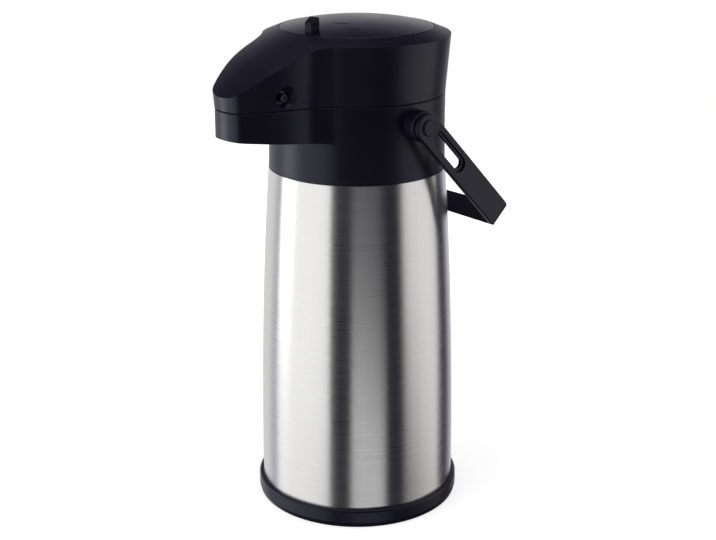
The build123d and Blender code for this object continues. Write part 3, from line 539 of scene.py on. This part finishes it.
lamps = {
    "keyLeft": {"azimuth": -71, "reach": 2.0, "wide": 3.2, "high": 3.4, "middle": 0.1, "aim": 0.1,
                "level": 1.07, "roll": 0, "colour": (1.0, 1.0, 1.0)},
    "tipCard": {"azimuth": -93, "reach": 0.8, "wide": 0.30, "high": 0.11, "middle": 0.125, "aim": 0.2,
                "level": 4.0, "roll": 0, "colour": (0.97, 0.98, 1.0)},
    "sideRight": {"azimuth": 89, "reach": 2.0, "wide": 2.2, "high": 2.8, "middle": 0.5, "aim": 0.5,
                  "level": 0.86, "roll": -13, "colour": (1.0, 0.99, 0.97)},
    "frontLow": {"azimuth": 12.4, "reach": 0.75, "wide": 0.54, "high": 0.4, "middle": -0.34, "aim": -0.34,
                 "level": 0.93, "roll": -12, "colour": (1.0, 1.0, 1.0)},
    "overhead": {"azimuth": -20, "reach": 0.35, "wide": 2.2, "high": 2.2, "middle": 2.0, "aim": 0.3,
                 "level": 0.85, "roll": 0, "colour": (0.97, 0.93, 1.0)},
}


def directRays(maker):
    # Rays that show the background as plain paper
    seen = maker.add("ShaderNodeLightPath", output="Is Camera Ray")
    return seen + maker.add("ShaderNodeLightPath", output="Is Transmission Ray")


surroundings = {
    "background": 1.0, "behind": 0.74, "dark": 0.010, "fill": 0.16, "above": 0.07, "hazeFrom": 0.12,
    "hazeTo": 0.5, "dusk": (0.90, 0.82, 1.55), "duskTo": 0.55, "backAzimuth": -166, "backFrom": 0.45,
    "backTo": 0.8,
}


def makeWorld():
    world = bpy.data.worlds.new("studio")
    bpy.context.scene.world = world
    world.use_nodes = True
    maker = Maker(world.node_tree)
    maker.tree.nodes.clear()
    heading = maker.add("ShaderNodeTexCoord", output="Generated")
    turn = radians(camera["azimuth"] + surroundings["backAzimuth"])
    toBack = (sin(turn), -cos(turn), 0)
    back = maker.add("ShaderNodeVectorMath", {"operation": "DOT_PRODUCT"}, {0: heading, 1: toBack},
                     output="Value")
    rise = maker.add("ShaderNodeSeparateXYZ", None, {0: heading}, output="Z")
    low = maker.remap(rise, surroundings["hazeFrom"], surroundings["hazeTo"], 1.0, surroundings["above"])
    behind = maker.remap(back, surroundings["backFrom"], surroundings["backTo"], 0.0, 1.0) * low
    isDirect = directRays(maker)
    isGlossy = maker.add("ShaderNodeLightPath", output="Is Glossy Ray")
    # Glossy rays meet the white background behind the object and a dim room on the camera's side
    seen = surroundings["dark"] + behind * (surroundings["behind"] - surroundings["dark"])
    level = isGlossy * seen + (1 - isGlossy) * surroundings["fill"]
    level = isDirect * surroundings["background"] + (1 - isDirect) * level
    plain = maker.remap(level + (1 - isGlossy), 0.0, surroundings["duskTo"], 0.0, 1.0)
    tint = maker.mix(plain, shade(*surroundings["dusk"]), shade(1.0, 1.0, 1.0))
    light = maker.add("ShaderNodeBackground", None, {"Color": tint, "Strength": level})
    maker.add("ShaderNodeOutputWorld", None, {"Surface": light})


floor = {"radius": 1.4, "sides": 96, "colour": shade(0.8, 0.8, 0.8), "roughness": 0.9, "lift": 0.68,
         "fadeFrom": 0.25, "fadeTo": 0.9}


def makeFloor():
    mesh = bpy.data.meshes.new("floor")
    disc = bmesh.new()
    bmesh.ops.create_circle(disc, cap_ends=True, segments=floor["sides"], radius=floor["radius"])
    disc.to_mesh(mesh)
    disc.free()
    plane = bpy.data.objects.new("floor", mesh)
    bpy.context.scene.collection.objects.link(plane)
    maker = newFinish("floorPaper")
    here = maker.add("ShaderNodeTexCoord", output="Object")
    away = maker.add("ShaderNodeVectorMath", {"operation": "LENGTH"}, {0: here}, output="Value")
    lift = maker.remap(away, floor["fadeFrom"], floor["fadeTo"], floor["lift"], 1.0)
    glow = maker.mix(directRays(maker) * lift, shade(0.0, 0.0, 0.0), shade(1.0, 1.0, 1.0))
    maker.finish({"Base Color": floor["colour"], "Roughness": floor["roughness"], "Specular IOR Level": 0.0,
                  "Emission Color": glow, "Emission Strength": 1.0})
    mesh.materials.append(maker.owner)
    plane.visible_shadow = False
    plane.visible_glossy = False


placeCamera()
for name, spec in lamps.items():
    placeLamp(name, spec)
makeWorld()
makeFloor()
bpy.context.scene.view_settings.view_transform = "Standard"
print("studio ready:", len(lamps), "lamps")
